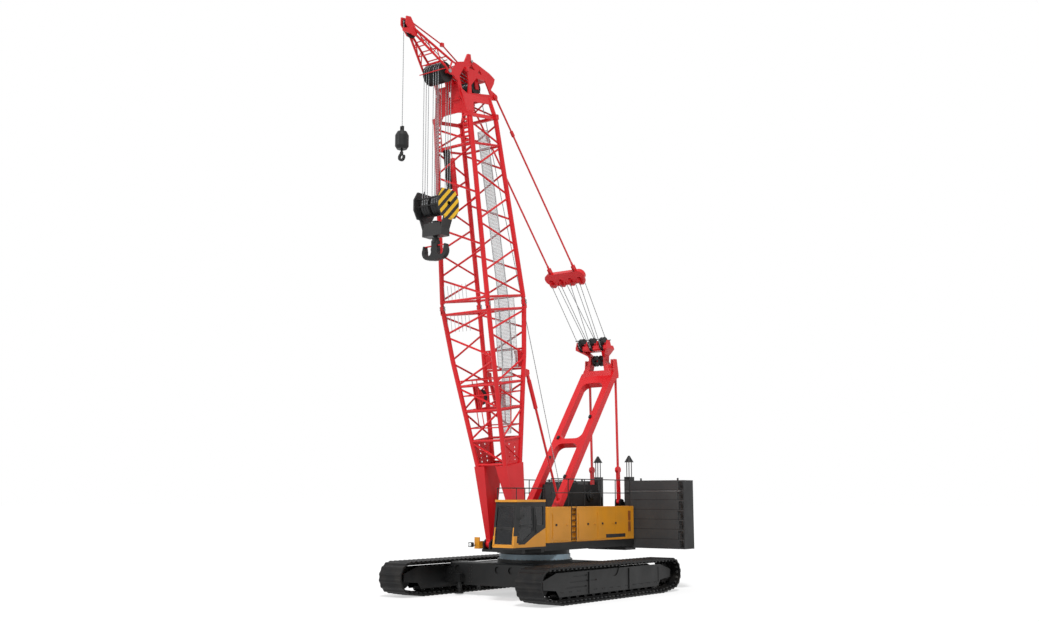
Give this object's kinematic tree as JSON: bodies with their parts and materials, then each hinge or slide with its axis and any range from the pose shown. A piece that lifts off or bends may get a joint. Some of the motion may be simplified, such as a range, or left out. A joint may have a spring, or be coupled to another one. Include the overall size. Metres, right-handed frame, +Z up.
{
  "type": "crawler crane",
  "caption": "Crawler crane with a lattice boom, fly tip, leaning mast with backstays, slewing upper with cab, engine house and stacked counterweight, on two wide tracks.",
  "frame": {"origin": "on the ground under the slewing axis, midway between the tracks", "axes": "+X forward, towards the boom; +Y to the machine's left; +Z up"},
  "size_m": [16.0341, 8.5, 23.6289],
  "materials": {
    "boom_red": "gloss enamel",
    "house_yellow": "gloss enamel",
    "weight_grey": "satin enamel",
    "chassis_black": "satin enamel",
    "track_steel": "worn cast steel",
    "rope_steel": "galvanised wire rope",
    "tread_grey": "galvanised grating",
    "clear_glass": "tinted safety glass",
    "ring_grey": "satin enamel",
    "seat_black": "moulded trim"
  },
  "bodies": {
    "undercarriage": {"carbody": "chassis_black", "cross_beams": "chassis_black", "slew_ring": "ring_grey", "track_left": "track_steel", "track_right": "track_steel", "track_frames": "chassis_black", "track_rollers": "track_steel", "drive_sprockets": "track_steel", "travel_drives": "chassis_black", "assembly_jacks": "chassis_black"},
    "upper": {"turntable": "chassis_black", "house_left": "house_yellow", "house_right": "house_yellow", "engine_block": "chassis_black", "counterweight": "weight_grey", "capped_stacks": "chassis_black", "rear_frame": "chassis_black", "winch_frame": "chassis_black", "oil_tank": "chassis_black", "handrails": "chassis_black", "foot_step": "house_yellow", "cab_frame": "chassis_black", "cab_tub": "house_yellow", "cab_carrier": "chassis_black", "cab_roof": "house_yellow", "cab_glass": "clear_glass", "cab_seat": "seat_black"},
    "cab_door": {"cab_door": "chassis_black", "cab_door_glass": "clear_glass"},
    "door_left_front": {"door_left_front": "house_yellow"},
    "door_left_mid": {"door_left_mid": "house_yellow"},
    "door_left_rear": {"door_left_rear": "house_yellow"},
    "door_right_mid": {"door_right_mid": "house_yellow"},
    "door_right_rear": {"door_right_rear": "house_yellow"},
    "main_hoist_drum": {"main_hoist_drum": "chassis_black"},
    "aux_hoist_drum": {"aux_hoist_drum": "chassis_black"},
    "luffing_drum": {"luffing_drum": "chassis_black"},
    "mast": {"mast": "boom_red", "mast_sheaves": "chassis_black"},
    "backstays": {"mast_backstays": "boom_red"},
    "boom": {"boom_legs": "boom_red", "base_chords": "boom_red", "top_chords": "boom_red", "boom_lacing": "boom_red", "boom_head": "boom_red", "boom_sheaves": "chassis_black", "boom_walkway": "tread_grey", "boom_backstops": "boom_red", "jib": "boom_red", "jib_sheaves": "chassis_black"},
    "main_sheaves": {"main_sheaves": "chassis_black"},
    "bridle": {"pendants": "boom_red", "spreader": "boom_red"},
    "main_block": {"main_block": "chassis_black", "main_falls": "rope_steel"},
    "main_hook": {"main_hook": "chassis_black"},
    "aux_block": {"aux_block": "chassis_black", "aux_fall": "rope_steel"},
    "aux_hook": {"aux_hook": "chassis_black"}
  },
  "joints": [
    {"name": "slew", "type": "hinge", "parent": "undercarriage", "child": "upper", "pos_m": [0, 0, 1.745], "axis": [0, 0, 1], "continuous": true},
    {"name": "boom_luff", "type": "hinge", "parent": "upper", "child": "boom", "pos_m": [2.05, 0, 2.2], "axis": [0, -1, 0], "range_deg": [-50, 3]},
    {"name": "mast_raise", "type": "hinge", "parent": "upper", "child": "mast", "pos_m": [0.3, 0, 2.52], "axis": [0, 1, 0], "range_deg": [0, 15]},
    {"name": "backstay_swing", "type": "hinge", "parent": "mast", "child": "backstays", "pos_m": [-5.62, 0, 10.02], "axis": [0, 1, 0], "range_deg": [-15, 0]},
    {"name": "bridle_swing", "type": "hinge", "parent": "boom", "child": "bridle", "pos_m": [3.77346, 0, 21.47237], "axis": [0, -1, 0], "range_deg": [-0.5, 6]},
    {"name": "main_sheaves_turn", "type": "hinge", "parent": "boom", "child": "main_sheaves", "pos_m": [6.83983, 0, 21.76589], "axis": [0, 1, 0], "continuous": true},
    {"name": "main_block_hang", "type": "hinge", "parent": "boom", "child": "main_block", "pos_m": [6.83983, 0, 21.76589], "axis": [0, -1, 0], "range_deg": [-3, 50]},
    {"name": "main_hook_swivel", "type": "hinge", "parent": "main_block", "child": "main_hook", "pos_m": [6.83983, 0, 15.3], "axis": [0, 0, 1], "continuous": true},
    {"name": "aux_block_hang", "type": "hinge", "parent": "boom", "child": "aux_block", "pos_m": [8.83001, 0, 23.35818], "axis": [0, -1, 0], "range_deg": [-3, 50]},
    {"name": "aux_hook_swivel", "type": "hinge", "parent": "aux_block", "child": "aux_hook", "pos_m": [8.95914, 0, 18.15], "axis": [0, 0, 1], "continuous": true},
    {"name": "main_drum_turn", "type": "hinge", "parent": "upper", "child": "main_hoist_drum", "pos_m": [-1.65, 0, 3], "axis": [0, 1, 0], "continuous": true},
    {"name": "aux_drum_turn", "type": "hinge", "parent": "upper", "child": "aux_hoist_drum", "pos_m": [-2.95, 0, 3], "axis": [0, 1, 0], "continuous": true},
    {"name": "luffing_drum_turn", "type": "hinge", "parent": "upper", "child": "luffing_drum", "pos_m": [-3.5, 0, 4.23], "axis": [0, 1, 0], "continuous": true},
    {"name": "cab_door_hinge", "type": "hinge", "parent": "upper", "child": "cab_door", "pos_m": [3.35, 2.421, 3.1], "axis": [0, 0, 1], "range_deg": [0, 95]},
    {"name": "door_left_front_hinge", "type": "hinge", "parent": "upper", "child": "door_left_front", "pos_m": [0.88, 1.611, 3], "axis": [0, 0, -1], "range_deg": [0, 95]},
    {"name": "door_left_mid_hinge", "type": "hinge", "parent": "upper", "child": "door_left_mid", "pos_m": [-1.08, 1.611, 3], "axis": [0, 0, -1], "range_deg": [0, 95]},
    {"name": "door_left_rear_hinge", "type": "hinge", "parent": "upper", "child": "door_left_rear", "pos_m": [-2.64, 1.611, 3], "axis": [0, 0, -1], "range_deg": [0, 95]},
    {"name": "door_right_mid_hinge", "type": "hinge", "parent": "upper", "child": "door_right_mid", "pos_m": [-1.08, -1.611, 3], "axis": [0, 0, 1], "range_deg": [0, 95]},
    {"name": "door_right_rear_hinge", "type": "hinge", "parent": "upper", "child": "door_right_rear", "pos_m": [-2.64, -1.611, 3], "axis": [0, 0, 1], "range_deg": [0, 95]}
  ],
  "couplings": [
    {"joint": "backstay_swing", "follows": "mast_raise", "ratio": -1},
    {"joint": "bridle_swing", "follows": "boom_luff", "ratio": -0.1},
    {"joint": "main_block_hang", "follows": "boom_luff", "ratio": -1},
    {"joint": "aux_block_hang", "follows": "boom_luff", "ratio": -1}
  ]
}
